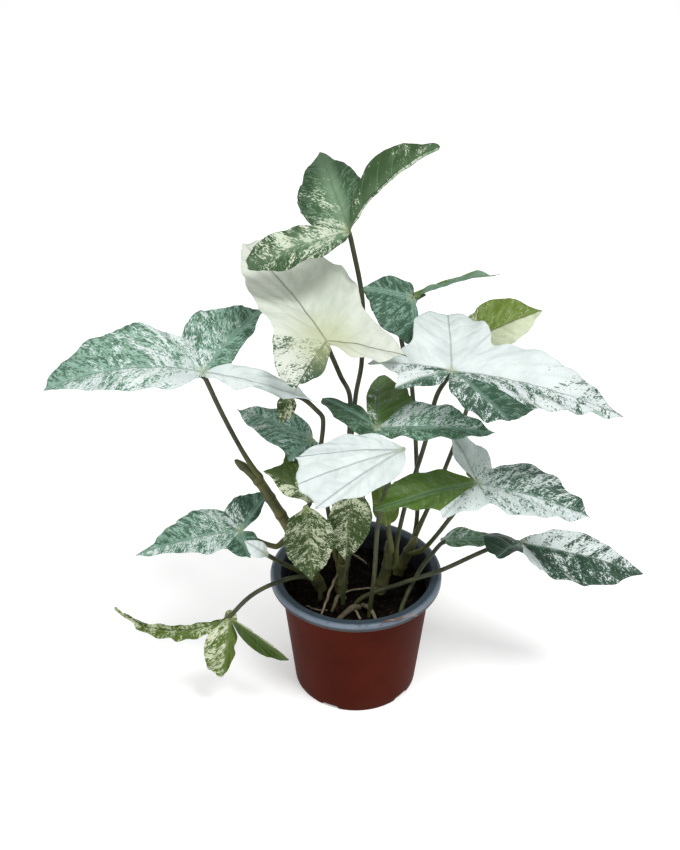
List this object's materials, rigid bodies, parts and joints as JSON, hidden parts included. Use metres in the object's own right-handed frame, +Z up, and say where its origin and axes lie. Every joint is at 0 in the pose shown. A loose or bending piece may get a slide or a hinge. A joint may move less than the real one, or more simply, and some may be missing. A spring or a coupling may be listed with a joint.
{
  "type": "potted arrowhead plant",
  "caption": "Variegated arrowhead plant with lobed green and cream leaves on long stalks, growing from short stems in a round tapered nursery pot filled with potting mix.",
  "frame": {"origin": "centre of the pot's foot, on the ground under the middle of the plant", "axes": "+Z is up, and the plant is seen from the front along +Y, with +X to the right"},
  "size_m": [0.4138, 0.1928, 0.4192],
  "materials": {
    "pot_plastic": "satin",
    "potting_mix": "matte",
    "stem_left": "satin",
    "stem_centre": "satin",
    "stem_right": "satin",
    "stem_back": "satin",
    "leaf_top": "satin",
    "leaf_white_large": "satin",
    "leaf_far_left": "satin",
    "leaf_mid_left": "satin",
    "leaf_low_left": "satin",
    "leaf_white_centre": "satin",
    "leaf_dark_centre": "satin",
    "leaf_right_large": "satin",
    "leaf_back": "satin",
    "leaf_back_lime": "satin",
    "leaf_right_mid": "satin",
    "leaf_right_low": "satin",
    "leaf_right_small": "satin",
    "leaf_over_rim": "satin",
    "leaf_inner_left": "satin",
    "leaf_hanging_left": "satin",
    "leaf_hanging_centre": "satin",
    "leaf_young": "satin",
    "leaf_dry": "matte",
    "leaf_small_white": "satin"
  },
  "bodies": {
    "root": {"pot": "pot_plastic", "potting_mix": "potting_mix", "stem_left": "stem_left", "stem_centre": "stem_centre", "stem_right": "stem_right", "stem_back": "stem_back", "leaf_top": "leaf_top", "leaf_white_large": "leaf_white_large", "leaf_far_left": "leaf_far_left", "leaf_mid_left": "leaf_mid_left", "leaf_low_left": "leaf_low_left", "leaf_white_centre": "leaf_white_centre", "leaf_dark_centre": "leaf_dark_centre", "leaf_right_large": "leaf_right_large", "leaf_back": "leaf_back", "leaf_back_lime": "leaf_back_lime", "leaf_right_mid": "leaf_right_mid", "leaf_right_low": "leaf_right_low", "leaf_right_small": "leaf_right_small", "leaf_over_rim": "leaf_over_rim", "leaf_inner_left": "leaf_inner_left", "leaf_hanging_left": "leaf_hanging_left", "leaf_hanging_centre": "leaf_hanging_centre", "leaf_young": "leaf_young", "leaf_dry": "leaf_dry", "leaf_small_white": "leaf_small_white"}
  },
  "joints": []
}
